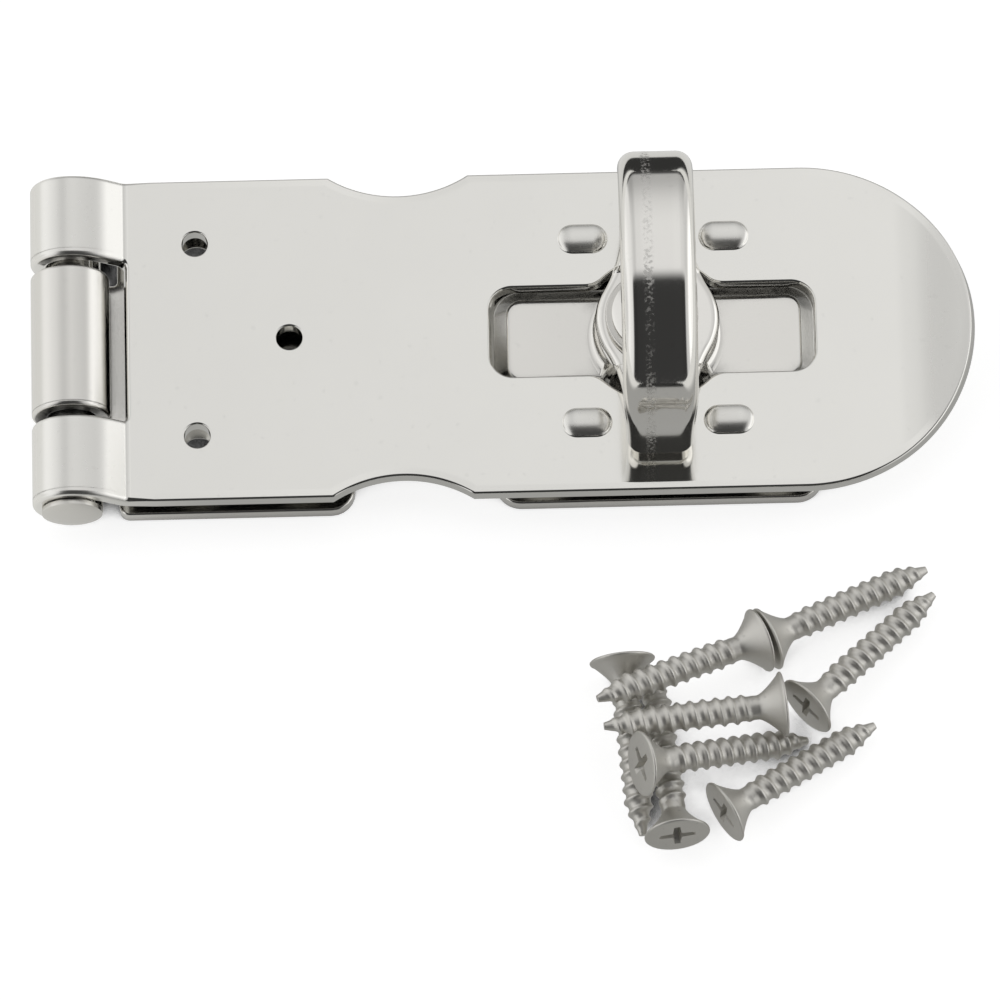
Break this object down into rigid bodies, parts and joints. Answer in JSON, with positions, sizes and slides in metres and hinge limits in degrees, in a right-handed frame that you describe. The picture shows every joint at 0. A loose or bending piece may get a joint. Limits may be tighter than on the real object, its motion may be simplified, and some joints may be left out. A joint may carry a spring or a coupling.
{
  "type": "hasp and staple",
  "caption": "Steel hasp whose hinged strap has a keyhole slot, locked over a staple with a thick turning loop for a padlock, and its loose countersunk screws.",
  "frame": {"origin": "on the rear leaf's back face, on the centre line, 20 mm from the hinge axis", "axes": "+X from the hinge to the strap's free end, +Z away from the mounting surface, +Y completes a right handed frame and runs along the hinge axis"},
  "size_m": [0.1098, 0.0822, 0.0318],
  "materials": {
    "polished_strap": "polished stainless sheet, warm light grey, faintly mottled",
    "polished_plate": "polished stainless sheet, light grey",
    "polished_loop": "mirror polished stainless casting",
    "plain_steel": "plain stainless, satin grey",
    "screw_steel": "rolled stainless, dull grey"
  },
  "bodies": {
    "strap": {"hasp_strap": "polished_strap", "hinge_pin": "plain_steel", "staple_base": "polished_plate", "wave_washer": "plain_steel"},
    "leaf": {"hinge_leaf": "polished_plate"},
    "staple_loop": {"turn_loop": "polished_loop", "loop_rivet": "polished_loop", "rivet_washer": "polished_plate", "back_washer": "plain_steel"},
    "loose_screws": {"screw_1": "screw_steel", "screw_2": "screw_steel", "screw_3": "screw_steel", "screw_4": "screw_steel", "screw_5": "screw_steel", "screw_6": "screw_steel", "screw_7": "screw_steel", "screw_8": "screw_steel"}
  },
  "joints": [
    {"name": "leaf_hinge", "type": "hinge", "parent": "strap", "child": "leaf", "pos_m": [-0.02, 0, 0.0046], "axis": [0, 1, 0], "range_deg": [0, 180]},
    {"name": "loop_turn", "type": "hinge", "parent": "strap", "child": "staple_loop", "pos_m": [0.0481, 0, 0.0073], "axis": [0, 0, 1], "range_deg": [-90, 90]},
    {"name": "screws_lift", "type": "slide", "parent": "strap", "child": "loose_screws", "axis": [0, 0, 1], "range_m": [0, 0.05]}
  ]
}
